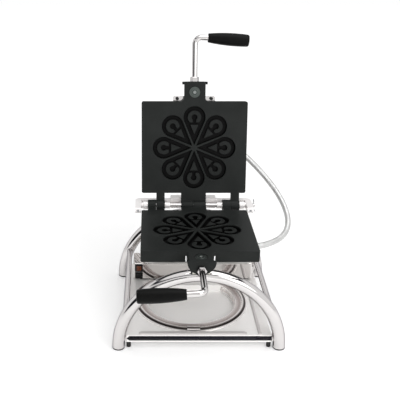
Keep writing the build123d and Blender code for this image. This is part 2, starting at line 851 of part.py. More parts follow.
def arch(offset):
    """Half-round tube arch that stands on the floor on its two ends."""
    tube = arch_ring(tube_radius) - arch_ring(tube_radius - tube_wall)
    return Pos(0, offset, foot_height) * tube


def arch_solid(offset):
    """The space an arch fills, to shape what sits against it."""
    return Pos(0, offset, foot_height) * arch_ring(tube_radius)


def foot_caps():
    """Rubber caps in the four ends of the arches."""
    caps = []
    for x in (-arch_radius, arch_radius):
        for y in (-front_arch_offset, rear_arch_offset):
            cap = bar_z(tube_radius, x, y, 0, foot_height)
            cap = fillet(cap.edges().group_by(Axis.Z)[0], foot_edge_radius)
            spigot = tube_radius - tube_wall - foot_spigot_clearance
            cap += bar_z(spigot, x, y, foot_height, foot_height + foot_spigot_length)
            caps.append(cap)
    return caps


def side_rails():
    """Two straight rails welded between the arches, one on each side."""
    reach = sqrt(arch_radius ** 2 - (rail_height - foot_height) ** 2)
    rails = []
    for x in (-reach, reach):
        rail = bar_y(rail_diameter / 2, x, -front_arch_offset, rear_arch_offset, rail_height)
        rails.append(rail - arch_solid(-front_arch_offset) - arch_solid(rear_arch_offset))
    return rails


def front_saddle():
    """Low-friction saddle on the front arch, under the round neck."""
    half = saddle_length / 2
    body = block(
        -saddle_half_width, saddle_half_width,
        -front_arch_offset - half, -front_arch_offset + half,
        arch_top, saddle_height,
    )
    body -= bar_y(neck_radius + saddle_clearance, 0, -2 * front_arch_offset, 0, axis_height)
    return body - arch_solid(-front_arch_offset)


def rear_bearing():
    """Bearing block welded on top of the rear arch."""
    half = bearing_length / 2
    front = rear_arch_offset - half
    rear = rear_arch_offset + half
    body = bar_y(bearing_radius, 0, front, rear, axis_height)
    body += block(-bearing_radius, bearing_radius, front, rear, arch_top, axis_height)
    foot_top = arch_top + bearing_foot_height
    body += block(-bearing_foot_half_width, bearing_foot_half_width, front, rear, arch_top, foot_top)
    seat = shaft_diameter / 2 + bush_wall + fit_clearance
    body -= bar_y(seat, 0, front - overshoot, rear + overshoot, axis_height)
    return body - arch_solid(rear_arch_offset)


def rear_bush():
    """Bronze bush with a flange towards the hub."""
    front = rear_arch_offset - bearing_length / 2
    rear = rear_arch_offset + bearing_length / 2
    bush = bar_y(shaft_diameter / 2 + bush_wall, 0, front, rear, axis_height)
    bush += bar_y(bush_flange_radius, 0, front - bush_flange_thickness, front, axis_height)
    bore = shaft_diameter / 2 + bearing_clearance
    return bush - bar_y(bore, 0, front - bush_wall, rear + bush_wall, axis_height)


# Base tray and drip pan


def base_tray():
    """Folded sheet tray between the arch legs, with a round hole for the pan."""
    low = tray_top - tray_skirt
    length = tray_front + tray_rear
    middle = (tray_rear - tray_front) / 2
    outer = block(-tray_half_width, tray_half_width, -tray_front, tray_rear, low, tray_top)
    outer = fillet(outer.edges().filter_by(Axis.Z), tray_corner_radius)
    outer = fillet(outer.edges().group_by(Axis.Z)[-1], tray_edge_radius)
    t = sheet_thickness
    inner = Pos(0, middle, low) * Box(
        2 * (tray_half_width - t), length - 2 * t, 2 * (tray_skirt - t)
    )
    tray = outer - inner
    for y, sign in ((-tray_front + t, 1), (tray_rear - t, -1)):
        tray += block(-tray_half_width + t, tray_half_width - t, y, y + sign * tray_return, low, low + t)
    hole = extrude(pan_plan(pan_clearance - pan_rim_width), amount=2 * tray_top)
    return tray - hole


def pan_plan(grow):
    """Plan of the pan: round, with a straight back along the control box."""
    back = box_front - pan_back_clearance
    half = 2 * pan_radius
    disc = Pos(-pan_offset, pan_centre_y) * Circle(pan_radius + grow)
    return disc - Pos(0, back + grow + half) * Rectangle(2 * half, 2 * half)


def stop_strip():
    """Low pressed strip with sloping ends along the tray's front."""
    half = stop_strip_half_width
    end = half + stop_strip_slope
    top = tray_top + stop_strip_height
    face = Polyline((-end, tray_top), (-half, top), (half, top), (end, tray_top), (-end, tray_top))
    strip = extrude(Plane.XZ * make_face(face), amount=-stop_strip_length)
    return Pos(-stop_strip_offset, stop_strip_setback - tray_front, 0) * strip


def side_strip():
    """Low strip with sloping sides along the tray's right side, up to the control box."""
    right = tray_half_width - side_strip_margin
    left = right - side_strip_width
    top = tray_top + stop_strip_height
    front = stop_strip_setback - tray_front
    points = [
        (left, tray_top), (left + side_strip_slope, top),
        (right - side_strip_slope, top), (right, tray_top), (left, tray_top),
    ]
    strip = extrude(Plane.XZ * make_face(Polyline(*points)), amount=front - box_front + pan_back_clearance)
    return Pos(0, front, 0) * strip


def leg_spacers():
    """Shaped spacers between the tray's sides and the arch legs."""
    spacers = []
    half = leg_spacer_length / 2
    low = tray_top - tray_skirt + leg_spacer_inset
    high = tray_top - leg_spacer_drop
    for y in (-front_arch_offset, rear_arch_offset):
        front = max(y - half, -tray_front)
        rear = min(y + half, tray_rear)
        for side in (-1, 1):
            spacer = block(side * tray_half_width, side * arch_radius, front, rear, low, high)
            inner = (spacer - arch_solid(y)).solids().sort_by(Axis.X)[0 if side > 0 else -1]
            spacers.append(inner)
    return spacers


def tray_feet():
    """Four rubber feet under the tray's folded edges."""
    feet = []
    x = tray_half_width - tray_foot_inset
    inset = tray_foot_inset + sheet_thickness
    for side in (-1, 1):
        for y in (inset - tray_front, tray_rear - inset):
            foot = bar_z(tray_foot_diameter / 2, side * x, y, 0, tray_top - tray_skirt)
            feet.append(chamfer(foot.edges().group_by(Axis.Z)[0], tray_foot_chamfer))
    return feet


def drip_pan():
    """Pressed pan that hangs by its rim in the tray's hole."""
    wall = sheet_thickness
    low = tray_top - pan_depth
    rim_top = tray_top + wall
    well = Pos(0, 0, low) * extrude(pan_plan(-pan_rim_width), amount=pan_depth + wall)
    well = fillet(well.edges().group_by(Axis.Z)[0], pan_floor_radius)
    inside = Pos(0, 0, low + wall) * extrude(pan_plan(-pan_rim_width - wall), amount=pan_depth + wall)
    inside = fillet(inside.edges().group_by(Axis.Z)[0], pan_floor_radius - wall)
    rim = Pos(0, 0, tray_top) * extrude(pan_plan(0), amount=wall)
    bead_plan = pan_plan(-pan_lip_width) - pan_plan(-pan_lip_width - pan_bead_width)
    bead = Pos(0, 0, tray_top) * extrude(bead_plan, amount=wall + pan_bead_height)
    bead = fillet(bead.edges().group_by(Axis.Z)[-1], pan_bead_edge)
    half = pan_tab_width / 2
    front = pan_centre_y - pan_radius
    rear = front + pan_tab_length
    bead_top = rim_top + pan_bead_height
    tab = block(-half, half, front, rear, bead_top - pan_tab_grip, bead_top + pan_tab_thickness)
    fold = block(-half, half, rear - wall, rear, tray_top, bead_top)
    return well + rim + bead - inside + Pos(-pan_offset, 0, 0) * (tab + fold)


# Control box


def box_opening(height, tall):
    """Cut-out in the box front for a snap-in fitting."""
    half = switch_width / 2
    front = box_front - overshoot
    rear = box_front + box_wall + overshoot
    return block(switch_x - half, switch_x + half, front, rear, height - tall / 2, height + tall / 2)


def control_housing():
    """Polished folded housing, open below, with cut-outs for switch and lamp."""
    outer = block(-box_half_width, box_half_width, box_front, box_rear, box_bottom, box_top)
    outer = fillet(outer.edges().filter_by(Axis.Z), box_corner_radius)
    outer = fillet(outer.edges().group_by(Axis.Z)[-1], box_edge_radius)
    inner = block(
        -box_half_width + box_wall, box_half_width - box_wall,
        box_front + box_wall, box_rear - box_wall, box_bottom - overshoot, box_top - box_wall,
    )
    housing = outer - inner
    housing -= box_opening(switch_height, switch_tall)
    housing -= box_opening(lamp_height, lamp_tall)
    hole = inlet_thread_radius + fit_clearance
    return housing - bar_y(hole, inlet_x, box_rear - 2 * box_wall, box_rear + overshoot, inlet_height)


def box_base():
    """Base plate inside the housing's lower edge."""
    gap = box_wall + box_base_clearance
    return block(
        -box_half_width + gap, box_half_width - gap, box_front + gap, box_rear - gap,
        box_bottom, box_bottom + box_wall,
    )


def box_pads():
    """Black rubber pads that lift the box off the tray."""
    pads = []
    half = pad_width / 2
    deep = pad_length / 2
    places = [pad_left_margin - box_half_width]
    places += [box_half_width - margin for margin in pad_right_margins]
    for x in places:
        for y in (box_front + pad_setback, box_rear - pad_setback):
            pads.append(block(x - half, x + half, y - deep, y + deep, tray_top, box_bottom))
    return pads


def bezel(height, tall):
    """Snap-in frame: a lip outside the box and a body inside it."""
    half = switch_width / 2
    wide = half + bezel_border
    high = tall / 2 + bezel_border
    lip = block(
        switch_x - wide, switch_x + wide, box_front - bezel_thickness, box_front,
        height - high, height + high,
    )
    lip = fillet(lip.edges().filter_by(Axis.Y), bezel_corner_radius)
    near = half - fit_clearance
    tall_half = tall / 2 - fit_clearance
    body = block(
        switch_x - near, switch_x + near, box_front, box_front + bezel_body_depth,
        height - tall_half, height + tall_half,
    )
    return lip + body


def switch_body():
    """Rocker switch body with the well that the rocker turns in."""
    wide = rocker_half_width + rocker_clearance
    high = rocker_half_height + rocker_clearance
    well = block(
        switch_x - wide, switch_x + wide,
        box_front - bezel_thickness - overshoot, box_front + switch_well_depth,
        switch_height - high, switch_height + high,
    )
    return bezel(switch_height, switch_tall) - well


def switch_rocker():
    """Rocker with two faces, tilted to its off side."""
    face = -rocker_face_depth
    ridge = face + rocker_ridge
    high = rocker_half_height
    bottom = (rocker_root, -high)
    profile = Polyline(bottom, (face, -high), (ridge, 0), (face, high), (rocker_root, high), bottom)
    rocker = extrude(Plane.YZ * make_face(profile), amount=rocker_half_width, both=True)
    return Pos(switch_x, box_front, switch_height) * Rot(rocker_tilt, 0, 0) * rocker


def lamp_lens():
    """Amber lens of the pilot lamp."""
    half = switch_width / 2 - lens_border
    tall = lamp_tall / 2 - lens_border
    rear = box_front - bezel_thickness
    front = rear - lens_thickness
    lens = block(switch_x - half, switch_x + half, front, rear, lamp_height - tall, lamp_height + tall)
    return fillet(lens.edges().group_by(Axis.Y)[0], lens_edge_radius)


def box_terminal_strip():
    """Terminal strip on the base plate that joins mains, switch and conduit."""
    half = terminal_strip_length / 2
    rear = box_rear - terminal_strip_setback
    low = box_bottom + box_wall
    high = low + terminal_strip_height
    strip = block(-half, half, rear - terminal_strip_width, rear, low, high)
    middle = rear - terminal_strip_width / 2
    for step in (-1.5, -0.5, 0.5, 1.5):
        x = step * terminal_strip_pitch
        floor = low + terminal_strip_hole_floor
        strip -= bar_z(terminal_strip_hole_radius, x, middle, floor, high + overshoot)
    return strip


def mains_gland():
    """Cable gland for the mains lead in the box's back."""
    inside = box_rear - box_wall
    outer = bar_y(inlet_gland_radius, inlet_x, box_rear, box_rear + inlet_gland_length, inlet_height)
    thread = bar_y(inlet_thread_radius, inlet_x, box_rear - inlet_gland_length, box_rear, inlet_height)
    nut = bar_y(inlet_gland_radius, inlet_x, inside - inlet_nut_thickness, inside, inlet_height)
    reach = 2 * inlet_gland_length
    bore = bar_y(inlet_bore / 2, inlet_x, box_rear - reach, box_rear + reach, inlet_height)
    return outer + thread + nut - bore


# Conduit


def conduit_route():
    """Points of the conduit, from the lid's gland round to the lower gland."""
    up_the_lid = hinge_y - terminal_box_centre_y
    lid_gland_y = hinge_y + up_the_lid * sin(lean) + gland_level * cos(lean)
    lid_gland_z = axis_height + up_the_lid * cos(lean) - gland_level * sin(lean)
    start_x = terminal_box_centre_x + terminal_box_width / 2 + gland_length
    lower_z = axis_height - gland_level
    return [
        (start_x, lid_gland_y, lid_gland_z),
        (start_x + conduit_first_run, lid_gland_y, lid_gland_z),
        (119.5, 197.5, 301.5),
        (144.5, 194.0, 277.5),
        (169.5, 187.5, 251.5),
        (193.0, 176.0, 223.5),
        (210.5, 157.0, 196.0),
        (218.0, 130.0, 173.5),
        (212.0, 99.5, 157.5),
        (193.5, 71.5, 150.0),
        (168.5, 47.0, 149.5),
        (141.5, 27.0, 152.0),
        (112.0, 14.5, 155.0),
        (start_x + conduit_last_run, terminal_box_centre_y, lower_z),
        (start_x, terminal_box_centre_y, lower_z),
    ]


def conduit():
    """Flexible metal conduit between the two terminal boxes."""
    points = [Vector(*p) for p in conduit_route()]
    radii = []
    for before, here, after in zip(points, points[1:], points[2:]):
        turn = (here - before).get_angle(after - here)
        shorter = min((here - before).length, (after - here).length)
        radii.append(conduit_arc_share * shorter / tan(radians(turn) / 2))
    print("conduit radii", [round(r, 1) for r in radii])
    path = FilletPolyline(*points, radius=radii)
    section = Plane(origin=points[0], z_dir=points[1] - points[0]) * Circle(conduit_diameter / 2)
    tube = sweep(section, path=path)
    print("conduit length", path.length)
    print("conduit volume over section times length", tube.volume / (section.area * path.length))
    return tube


def main():
    os.makedirs("parts", exist_ok=True)
    write_plate_set("lower", on_axis, 1, lower_arm_y, lower_side_arm, -lower_arm_droop, 0)
    write_plate_set("upper", on_lid, -1, upper_arm_y, upper_side_arm, 0, upper_arm_droop)
    write("cover_strap", on_lid, cover_strap())
    write("strap_buffers", on_lid, *strap_buffers())

    write("hinge_yoke", on_axis, hinge_yoke())
    write("yoke_set_screws", on_axis, *yoke_set_screws())
    write("rear_hub", on_axis, rear_hub())
    write("rear_shaft", on_axis, rear_shaft())
    write("shaft_collar", on_axis, shaft_collar())
    write("hinge_pin", on_axis, hinge_pin())
    write("pin_collars", on_axis, *pin_collars())
    write("split_pin", on_axis, split_pin())

    write("front_arch", on_stand, arch(-front_arch_offset))
    write("rear_arch", on_stand, arch(rear_arch_offset))
    write("side_rails", on_stand, *side_rails())
    write("foot_caps", on_stand, *foot_caps())
    write("front_saddle", on_stand, front_saddle())
    write("rear_bearing", on_stand, rear_bearing())
    write("rear_bush", on_stand, rear_bush())
    write("base_tray", on_stand, base_tray())
    write("stop_strip", on_stand, stop_strip(), side_strip())
    write("leg_spacers", on_stand, *leg_spacers())
    write("tray_feet", on_stand, *tray_feet())
    write("drip_pan", on_stand, drip_pan())

    write("control_housing", on_stand, control_housing())
    write("box_base", on_stand, box_base())
    write("box_pads", on_stand, *box_pads())
    write("switch_body", on_stand, switch_body())
    write("switch_rocker", on_stand, switch_rocker())
    write("lamp_body", on_stand, bezel(lamp_height, lamp_tall))
    write("lamp_lens", on_stand, lamp_lens())
    write("box_terminal_strip", on_stand, box_terminal_strip())
    write("mains_gland", on_stand, mains_gland())
    write("conduit", on_stand, conduit())
    print("plates' centre at Y", plate_y, "and hinge at Y", plate_y + hinge_y)


main()
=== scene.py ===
import json
from math import cos, pi, radians, sin

import bmesh
import bpy
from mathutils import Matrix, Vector


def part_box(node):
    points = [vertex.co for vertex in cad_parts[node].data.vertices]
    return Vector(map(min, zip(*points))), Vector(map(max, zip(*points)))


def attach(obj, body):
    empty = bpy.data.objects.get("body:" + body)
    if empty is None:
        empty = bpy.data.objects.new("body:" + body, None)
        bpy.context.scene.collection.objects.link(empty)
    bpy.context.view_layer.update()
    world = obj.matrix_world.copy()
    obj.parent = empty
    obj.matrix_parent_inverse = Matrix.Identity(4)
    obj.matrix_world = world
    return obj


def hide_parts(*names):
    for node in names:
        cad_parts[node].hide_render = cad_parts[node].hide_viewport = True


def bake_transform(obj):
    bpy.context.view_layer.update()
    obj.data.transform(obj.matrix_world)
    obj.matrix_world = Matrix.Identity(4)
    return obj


# A rotating waffle maker with its lid open, dressed around its model.
# The sections follow the machine as it is put together. Lengths are in metres.
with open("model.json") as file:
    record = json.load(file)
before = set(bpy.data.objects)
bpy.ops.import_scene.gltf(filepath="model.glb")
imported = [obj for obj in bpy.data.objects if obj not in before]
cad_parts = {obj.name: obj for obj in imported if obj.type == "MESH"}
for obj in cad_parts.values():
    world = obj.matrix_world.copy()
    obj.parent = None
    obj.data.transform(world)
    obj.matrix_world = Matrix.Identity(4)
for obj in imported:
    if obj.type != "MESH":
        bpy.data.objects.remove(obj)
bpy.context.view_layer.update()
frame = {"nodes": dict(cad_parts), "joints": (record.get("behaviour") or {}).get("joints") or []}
nodes = frame["nodes"]
joints = {joint["name"]: joint for joint in frame["joints"]}

# Camera
# It stands in front of the machine, above it and a little to its left, and looks
# down at the plates. Lens and shift give the photograph's own framing.
photo_width = 400
focal_length_pixels = 667.8
sensor_width = 36.0
camera_pitch = radians(22.44)
camera_shift = 0.12375
camera_aside = -0.0977
camera_ahead = 1.270
camera_height = 0.7946
plates_ahead_of_hinge = 0.13075
hinge_y, axis_height = joints["lid_hinge"]["pos_m"][1:]
plates_y = hinge_y - plates_ahead_of_hinge

camera_data = bpy.data.cameras.new("camera")
camera_data.sensor_width = sensor_width
camera_data.lens = sensor_width * focal_length_pixels / photo_width
camera_data.shift_x = camera_shift
camera = bpy.data.objects.new("camera", camera_data)
camera.location = (camera_aside, plates_y - camera_ahead, camera_height)
camera.rotation_euler = (pi / 2 - camera_pitch, 0, 0)
bpy.context.scene.collection.objects.link(camera)
bpy.context.scene.camera = camera

# Conduit
# Flexible steel conduit of wound strip, 13 mm outside, that carries the wires from
# the lid's terminal box round the hinge to the lower one. It hangs between two
# glands, in the one shape it takes with the lid open.
conduit_radius = 0.0065
conduit_groove = 0.0004
conduit_pitch = 0.0032
conduit_sides = 24
conduit_exit = (0.0630, plates_y + 0.19934, 0.31226)
conduit_route = [
    conduit_exit,
    (0.0920, plates_y + 0.19934, 0.31226),
    (0.1195, plates_y + 0.1975, 0.3015),
    (0.1445, plates_y + 0.1940, 0.2775),
    (0.1695, plates_y + 0.1875, 0.2515),
    (0.1930, plates_y + 0.1760, 0.2235),
    (0.2105, plates_y + 0.1570, 0.1960),
    (0.2180, plates_y + 0.1300, 0.1735),
    (0.2120, plates_y + 0.0995, 0.1575),
    (0.1935, plates_y + 0.0715, 0.1500),
    (0.1685, plates_y + 0.0470, 0.1495),
    (0.1415, plates_y + 0.0270, 0.1520),
    (0.1120, plates_y + 0.0145, 0.1550),
    (0.0840, plates_y + 0.0110, 0.1570),
    (0.0630, plates_y + 0.0110, 0.1570),
]


def linear(hex_value):
    """The linear colour of an sRGB hex value."""
    channels = [int(hex_value[i:i + 2], 16) / 255 for i in (1, 3, 5)]
    return [c / 12.92 if c <= 0.04045 else ((c + 0.055) / 1.055) ** 2.4 for c in channels] + [1.0]


def add_node(tree, kind, values=None, links=None, **settings):
    """Add a shader node with its settings, its input values and its links."""
    node = tree.nodes.new(kind)
    for name, value in settings.items():
        setattr(node, name, value)
    for name, value in (values or {}).items():
        node.inputs[name].default_value = value
    for name, source in (links or {}).items():
        tree.links.new(source, node.inputs[name])
    return node


def start_material(name, colour, metallic, roughness):
    """A new material, its node tree and its shader with plain values set."""
    material = bpy.data.materials.new(name)
    material.use_nodes = True
    tree = material.node_tree
    shader = tree.nodes["Principled BSDF"]
    shader.inputs["Base Color"].default_value = linear(colour)
    shader.inputs["Metallic"].default_value = metallic
    shader.inputs["Roughness"].default_value = roughness
    return material, tree, shader


def finish_surface(tree, shader, height, depth, strength=1.0, edge=0.0):
    """Join a height pattern `depth` metres deep to the normal, over edges rounded by `edge`."""
    links = {"Height": height}
    if edge:
        rounded = add_node(tree, "ShaderNodeBevel", {"Radius": edge}, samples=6)
        links["Normal"] = rounded.outputs["Normal"]
    bump = add_node(tree, "ShaderNodeBump", {"Strength": strength, "Distance": depth}, links)
    tree.links.new(bump.outputs["Normal"], shader.inputs["Normal"])


def vary(tree, shader, socket, pattern, low, high):
    """Let a pattern move one of the shader's sockets between two values."""
    ramp = add_node(tree, "ShaderNodeMapRange", {"To Min": low, "To Max": high}, {"Value": pattern})
    tree.links.new(ramp.outputs["Result"], shader.inputs[socket])


def vary_colour(tree, shader, pattern, dark, light):
    """Let a pattern move the shader's colour between two hex values."""
    ramp = add_node(tree, "ShaderNodeValToRGB", links={"Fac": pattern})
    for stop, at, tone in zip(ramp.color_ramp.elements, (0.3, 0.7), (dark, light)):
        stop.position = at
        stop.color = linear(tone)
    tree.links.new(ramp.outputs["Color"], shader.inputs["Base Color"])


def object_noise(tree, size, detail=2.0, stretch=(1, 1, 1)):
    """Noise whose features are `size` metres large, drawn out along an axis."""
    place = add_node(tree, "ShaderNodeTexCoord").outputs["Object"]
    scale = [1 / (size * s) for s in stretch]
    drawn = add_node(tree, "ShaderNodeMapping", {"Scale": scale}, {"Vector": place})
    noise = add_node(
        tree, "ShaderNodeTexNoise", {"Scale": 1.0, "Detail": detail}, {"Vector": drawn.outputs["Vector"]},
    )
    return noise.outputs["Fac"]


def wound_steel():
    """Galvanised steel strip, wound: dull silver, a little darker in its grooves."""
    handling_marks = 0.012
    material, tree, shader = start_material("wound_steel_strip", "#d4d4d3", 1.0, 0.42)
    wear = object_noise(tree, handling_marks)
    vary(tree, shader, "Roughness", wear, 0.38, 0.50)
    vary_colour(tree, shader, wear, "#cbcbca", "#dededd")
    finish_surface(tree, shader, wear, depth=0.0001)
    return material


def dress(material, slot, *names):
    """Give CAD nodes their finish; the slot argument is not used."""
    for name in names:
        node = nodes[name]
        node.data.materials.clear()
        node.data.materials.append(material)


def new_piece(name, mesh, material, body):
    """Make a finished mesh a piece of its own, which rides on its body if it has one."""
    piece = bpy.data.objects.new(name, mesh)
    bpy.context.scene.collection.objects.link(piece)
    mesh.materials.append(material)
    if body:
        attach(piece, body)
    return piece


def smooth_line(points):
    """Close points along the NURBS spline that has these control points."""
    curve = bpy.data.curves.new("route", "CURVE")
    curve.dimensions = "3D"
    curve.resolution_u = 24
    spline = curve.splines.new("NURBS")
    spline.points.add(len(points) - 1)
    for point, place in zip(spline.points, points):
        point.co = (*place, 1)
    spline.order_u = 3
    spline.use_endpoint_u = True
    carrier = bpy.data.objects.new("route", curve)
    line = bpy.data.meshes.new_from_object(carrier)
    found = [vertex.co.copy() for vertex in line.vertices]
    bpy.data.objects.remove(carrier)
    bpy.data.curves.remove(curve)
    bpy.data.meshes.remove(line)
    return found


def evenly(line, steps):
    """Points of a line at equal distances, with the line's direction at each."""
    lengths = [0.0]
    for a, b in zip(line, line[1:]):
        lengths.append(lengths[-1] + (b - a).length)
    found = []
    at = 0
    for step in range(steps + 1):
        wanted = lengths[-1] * step / steps
        while at < len(line) - 2 and lengths[at + 1] < wanted:
            at += 1
        share = (wanted - lengths[at]) / (lengths[at + 1] - lengths[at])
        direction = (line[at + 1] - line[at]).normalized()
        found.append((line[at].lerp(line[at + 1], min(share, 1.0)), direction))
    return found, lengths[-1]


def tube_mesh(name, stations, radii, sides):
    """A closed tube through stations of (point, direction), one radius for each."""
    form = bmesh.new()
    side = stations[0][1].orthogonal().normalized()
    rings = []
    for (point, direction), radius in zip(stations, radii):
        side = (side - direction * side.dot(direction)).normalized()
        across = direction.cross(side)
        ring = []
        for k in range(sides):
            angle = 2 * pi * k / sides
            ring.append(form.verts.new(point + radius * (side * cos(angle) + across * sin(angle))))
        rings.append(ring)
    for a, b in zip(rings, rings[1:]):
        for k in range(sides):
            form.faces.new((a[k], a[(k + 1) % sides], b[(k + 1) % sides], b[k]))
    form.faces.new(reversed(rings[0]))
    form.faces.new(rings[-1])
    for face in form.faces:
        face.smooth = len(face.verts) == 4
    mesh = bpy.data.meshes.new(name)
    form.to_mesh(mesh)
    form.free()
    return mesh


conduit_line = smooth_line(conduit_route)
rough_length = sum((b - a).length for a, b in zip(conduit_line, conduit_line[1:]))
conduit_turns = round(rough_length / conduit_pitch)
rings_per_turn = 5
groove_profile = (0.0, 0.75, 1.0, 1.0, 0.75)
stations, conduit_length = evenly(conduit_line, conduit_turns * rings_per_turn)
radii = []
for ring in range(len(stations)):
    crest = groove_profile[ring % rings_per_turn]
    radii.append(conduit_radius - conduit_groove * (1 - crest))
conduit_mesh = tube_mesh("wound_conduit", stations, radii, conduit_sides)
conduit = new_piece("wound_conduit", conduit_mesh, wound_steel(), None)
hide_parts("conduit")
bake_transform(conduit)

# Arches and rails
# Two half rings of 25 mm steel tube stand on their ends and two straight rods join
# them. They are polished and chrome-plated in one piece after welding.


def bright_chrome():
    """Chrome plate over polished steel: a mirror, faintly waved, darker where it turns away."""
    polishing_wave = 0.018
    material, tree, shader = start_material("chrome_plate", "#dfdcdb", 1.0, 0.07)
    shader.inputs["Specular Tint"].default_value = linear("#8e8c92")
    wave = object_noise(tree, polishing_wave, 1.0)
    vary(tree, shader, "Roughness", wave, 0.05, 0.10)
    finish_surface(tree, shader, wave, depth=0.0004, strength=0.35, edge=0.0006)
    return material


chrome = bright_chrome()
dress(chrome, "chrome", "front_arch", "rear_arch", "side_rails")

# Rubber feet and buffers
# Black moulded rubber: caps in the tubes' ends, feet under the tray, pads under the
# control box and the two buffers on the lid's strap. It is matt and a little grey.


def moulded_rubber():
    """Black moulded rubber: matt, with the fine grain of its mould."""
    # The mould's grain is about 0.3 mm. It is drawn four times as coarse, to show.
    mould_grain = 0.0012
    material, tree, shader = start_material("moulded_rubber", "#1c1c1b", 0.0, 0.75)
    grain = object_noise(tree, mould_grain, 3.0)
    vary_colour(tree, shader, grain, "#171716", "#242423")
    finish_surface(tree, shader, grain, depth=0.0001, strength=0.6, edge=0.0005)
    return material


rubber = moulded_rubber()
dress(rubber, "black_rubber", "foot_caps", "tray_feet", "box_pads", "strap_buffers")

# Base tray, its strips and the drip pan
# Stainless sheet, folded for the tray and pressed for the pan. The pan hangs in the
# tray's round hole by its rim and lifts out by its tab. A narrow blue-black band along
# the tray's front edge is a painted dark reflection.


def polished_sheet():
    """Stainless sheet, polished: a pale soft shine, with hairlines along the sheet."""
    # Hairlines are about 0.1 mm wide. They are drawn six times as coarse, to show.
    hairline = 0.0006
    ripple = 0.060
    material, tree, shader = start_material("polished_stainless", "#fbf9f7", 0.35, 0.30)
    lines = object_noise(tree, hairline, 2.0, stretch=(60, 1, 1))
    vary(tree, shader, "Roughness", lines, 0.24, 0.36)
    wave = object_noise(tree, ripple, 0.0)
    finish_surface(tree, shader, wave, depth=0.0012, strength=0.5, edge=0.0008)
    return material


def pressed_pan():
    """Stainless pan: a pale blasted floor, and a polished rim with rings of painted reflection and painted
    shade.
    """
    # Blasting leaves dimples of about 0.2 mm. They are drawn four times as coarse, to show.
    bead_dimple = 0.0008
    floor_radius = 0.0965
    wall_width = 0.001
    pan_low, pan_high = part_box("drip_pan")
    reach = (pan_high[0] - pan_low[0]) / 2
    centre = (pan_low[0] + reach, pan_low[1] + reach, pan_high[2])
    material, tree, shader = start_material("pressed_pan", "#fdfbf9", 0.5, 0.45)
    dimples = object_noise(tree, bead_dimple, 2.0)
    place = add_node(tree, "ShaderNodeTexCoord").outputs["Object"]
    out = add_node(tree, "ShaderNodeVectorMath", {1: centre}, {0: place}, operation="DISTANCE")
    across_rim = add_node(
        tree, "ShaderNodeMapRange", {"From Min": floor_radius, "From Max": reach},
        {"Value": out.outputs["Value"]},
    )
    # Rings of grey and near black across the rim, by distance from the pan's middle, are painted
    # reflections and painted shade.
    rim = add_node(tree, "ShaderNodeValToRGB", links={"Fac": across_rim.outputs["Result"]})
    painted_rim_tones = rim.color_ramp.elements
    painted_rim_tones[0].color = linear("#fdfbf9")
    painted_rim_tones[1].color = linear("#f6f2f0")
    for at, tone in (
            (0.08, "#d6cfcd"), (0.36, "#a79c99"), (0.46, "#aca29f"), (0.56, "#efebe9"),
            (0.66, "#e2dcda"), (0.74, "#3a3432"), (0.86, "#3f3937"), (0.92, "#efebe9")):
        painted_rim_tones.new(at).color = linear(tone)
    tree.links.new(rim.outputs["Color"], shader.inputs["Base Color"])
    on_rim = add_node(
        tree, "ShaderNodeMapRange", {"From Min": floor_radius, "From Max": floor_radius + wall_width},
        {"Value": out.outputs["Value"]},
    ).outputs["Result"]
    vary(tree, shader, "Metallic", on_rim, 0.05, 0.70)
    vary(tree, shader, "Roughness", on_rim, 0.55, 0.20)
    finish_surface(tree, shader, dimples, depth=0.00003, strength=0.4, edge=0.0008)
    return material


def bent_strip():
    """Satin strip: it looks a shade darker than the tray that it is welded to."""
    # Brushed lines are about 0.1 mm wide. They are drawn eight times as coarse, to show.
    brushing = 0.0008
    material, tree, shader = start_material("bent_strip", "#dad6d5", 0.6, 0.30)
    lines = object_noise(tree, brushing, 2.0, stretch=(40, 1, 1))
    vary(tree, shader, "Roughness", lines, 0.25, 0.36)
    finish_surface(tree, shader, lines, depth=0.0001, strength=0.5, edge=0.0006)
    return material


def navy_painted_reflection():
    """Glossy blue-black, on the band along the tray's front: a painted dark reflection."""
    orange_peel = 0.004
    material, tree, shader = start_material("navy_painted_reflection", "#0b0a14", 0.0, 0.10)
    shader.inputs["Specular IOR Level"].default_value = 0.2
    peel = object_noise(tree, orange_peel, 1.0)
    vary_colour(tree, shader, peel, "#0a0912", "#11101d")
    finish_surface(tree, shader, peel, depth=0.00005, strength=0.4)
    return material


def band_mesh(half_length, low, high, face, crown, mitre):
    """A crowned band along X whose left end runs to a point."""
    form = bmesh.new()
    steps_up = 8
    rows = []
    for step in range(steps_up + 1):
        share = step / steps_up
        bulge = crown * (1 - (2 * share - 1) ** 2)
        cut = mitre * abs(2 * share - 1)
        z = low + (high - low) * share
        ends = (-half_length + cut, half_length)
        rows.append([form.verts.new((x, face - bulge, z)) for x in ends])
    back = [
        form.verts.new((x, face + crown, z))
        for z in (low, high) for x in (mitre - half_length, half_length)
    ]
    for a, b in zip(rows, rows[1:]):
        form.faces.new((a[0], a[1], b[1], b[0]))
    form.faces.new((back[0], back[1], rows[0][1], rows[0][0]))
    form.faces.new((rows[-1][0], rows[-1][1], back[3], back[2]))
    form.faces.new((back[2], back[3], back[1], back[0]))
    form.faces.new([row[0] for row in rows] + [back[2], back[0]])
    form.faces.new([back[1], back[3]] + [row[1] for row in reversed(rows)])
    bmesh.ops.recalc_face_normals(form, faces=form.faces)
    for crowned in form.faces:
        crowned.smooth = abs(crowned.normal.y) > 0.5
    mesh = bpy.data.meshes.new("tray_front_band")
    form.to_mesh(mesh)
    form.free()
    return mesh


dress(polished_sheet(), "polished_stainless", "base_tray")
dress(bent_strip(), "polished_stainless", "stop_strip")
dress(chrome, "chrome", "leg_spacers")
dress(pressed_pan(), "polished_stainless", "drip_pan")
tray_low, tray_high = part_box("base_tray")
band_margin = 0.0032
band_edge = 0.0012
band_crown = 0.0006
band_mitre = 0.006
# The band along the tray's front is a painted dark reflection.
front_band = band_mesh(
    tray_high[0] - band_edge, tray_low[2] + band_margin, tray_high[2] - band_edge,
    tray_low[1], band_crown, band_mitre,
)
new_piece("tray_front_band", front_band, navy_painted_reflection(), "stand")

